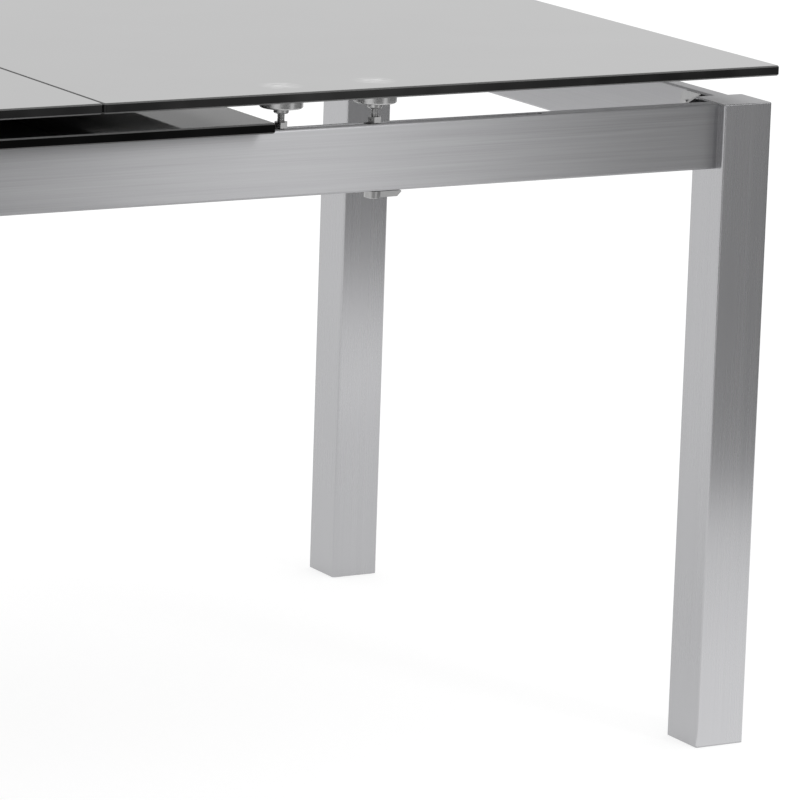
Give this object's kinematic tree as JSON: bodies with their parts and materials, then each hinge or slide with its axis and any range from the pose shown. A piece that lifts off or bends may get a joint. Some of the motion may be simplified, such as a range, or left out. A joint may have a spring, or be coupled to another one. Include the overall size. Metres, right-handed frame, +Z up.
{
  "type": "extendable dining table",
  "caption": "Rectangular dining table with two sliding glass half tops on posts, a stored glass centre leaf that rises between them, and a brushed steel tube frame.",
  "frame": {"origin": "on the floor under the middle of the closed table", "axes": "+X along the length to the right end, +Y to the back, +Z up"},
  "size_m": [1.606, 0.9, 0.75],
  "materials": {
    "leg_steel": "vertical brushed grain",
    "apron_steel": "brushed grain along the tube",
    "brace_steel": "dull brushed plate",
    "adapter_metal": "turned and satin",
    "lever_metal": "cast, satin",
    "fastener_steel": "bright plated",
    "mechanism_paint": "black powder coat",
    "nylon": "black nylon",
    "top_glass": "light grey back-painted glass, polished, dark edges",
    "leaf_glass": "near-black glass, polished"
  },
  "bodies": {
    "frame": {"leg_caps": "leg_steel", "foot_glides": "nylon", "leg_bolts": "fastener_steel", "brace_screws": "fastener_steel", "centre_beam": "mechanism_paint", "guide_pins": "fastener_steel", "pinion_axle": "fastener_steel", "pinion_circlip": "fastener_steel", "leaf_pads": "nylon", "end_rest_posts": "mechanism_paint", "end_rest_caps": "nylon", "front_apron": "apron_steel", "back_apron": "apron_steel", "left_apron": "apron_steel", "right_apron": "apron_steel", "leg_front_left": "leg_steel", "leg_front_right": "leg_steel", "leg_back_left": "leg_steel", "leg_back_right": "leg_steel", "corner_brace_front_left": "brace_steel", "corner_brace_front_right": "brace_steel", "corner_brace_back_left": "brace_steel", "corner_brace_back_right": "brace_steel"},
    "right_top": {"right_glass": "top_glass", "right_adapters": "adapter_metal", "right_studs": "fastener_steel", "right_lock_nuts": "fastener_steel", "right_cross_bar": "mechanism_paint", "right_rack": "mechanism_paint", "right_ramps": "mechanism_paint", "runner_front_right": "nylon", "runner_back_right": "nylon"},
    "left_top": {"left_glass": "top_glass", "left_adapters": "adapter_metal", "left_studs": "fastener_steel", "left_lock_nuts": "fastener_steel", "left_cross_bar": "mechanism_paint", "left_rack": "mechanism_paint", "left_ramps": "mechanism_paint", "runner_front_left": "nylon", "runner_back_left": "nylon"},
    "pinion": {"pinion_gear": "mechanism_paint"},
    "leaf_carrier": {"carrier_rail_front": "mechanism_paint", "carrier_rail_back": "mechanism_paint", "carrier_tie": "mechanism_paint", "carrier_skids": "nylon", "lift_sleeves": "nylon", "guide_bushes": "nylon"},
    "leaf": {"leaf_glass": "leaf_glass", "leaf_adapters": "adapter_metal", "lift_rods": "fastener_steel"},
    "lever_front_left": {"lock_lever_front_left": "lever_metal", "lock_screw_front_left": "fastener_steel"},
    "lever_front_right": {"lock_lever_front_right": "lever_metal", "lock_screw_front_right": "fastener_steel"},
    "lever_back_left": {"lock_lever_back_left": "lever_metal", "lock_screw_back_left": "fastener_steel"},
    "lever_back_right": {"lock_lever_back_right": "lever_metal", "lock_screw_back_right": "fastener_steel"}
  },
  "joints": [
    {"name": "right_top_slide", "type": "slide", "parent": "frame", "child": "right_top", "axis": [1, 0, 0], "range_m": [0, 0.196]},
    {"name": "left_top_slide", "type": "slide", "parent": "frame", "child": "left_top", "axis": [-1, 0, 0], "range_m": [0, 0.196]},
    {"name": "pinion_spin", "type": "hinge", "parent": "frame", "child": "pinion", "pos_m": [0, 0, 0.663], "axis": [0, 0, 1], "range_deg": [0, 468]},
    {"name": "carrier_rise", "type": "slide", "parent": "frame", "child": "leaf_carrier", "axis": [0, 0, 1], "range_m": [0, 0.0115]},
    {"name": "leaf_lift", "type": "slide", "parent": "leaf_carrier", "child": "leaf", "axis": [0, 0, 1], "range_m": [0, 0.0185]},
    {"name": "lever_front_left_turn", "type": "hinge", "parent": "left_top", "child": "lever_front_left", "pos_m": [-0.328, -0.417, 0.634], "axis": [0, 0, -1], "range_deg": [0, 90]},
    {"name": "lever_front_right_turn", "type": "hinge", "parent": "right_top", "child": "lever_front_right", "pos_m": [0.328, -0.417, 0.634], "axis": [0, 0, 1], "range_deg": [0, 90]},
    {"name": "lever_back_left_turn", "type": "hinge", "parent": "left_top", "child": "lever_back_left", "pos_m": [-0.328, 0.417, 0.634], "axis": [0, 0, 1], "range_deg": [0, 90]},
    {"name": "lever_back_right_turn", "type": "hinge", "parent": "right_top", "child": "lever_back_right", "pos_m": [0.328, 0.417, 0.634], "axis": [0, 0, -1], "range_deg": [0, 90]}
  ],
  "couplings": [
    {"joint": "left_top_slide", "follows": "right_top_slide", "ratio": 1},
    {"joint": "pinion_spin", "follows": "right_top_slide", "rad_per_m": 41.667},
    {"joint": "carrier_rise", "follows": "right_top_slide", "ratio": 0.058673}
  ]
}
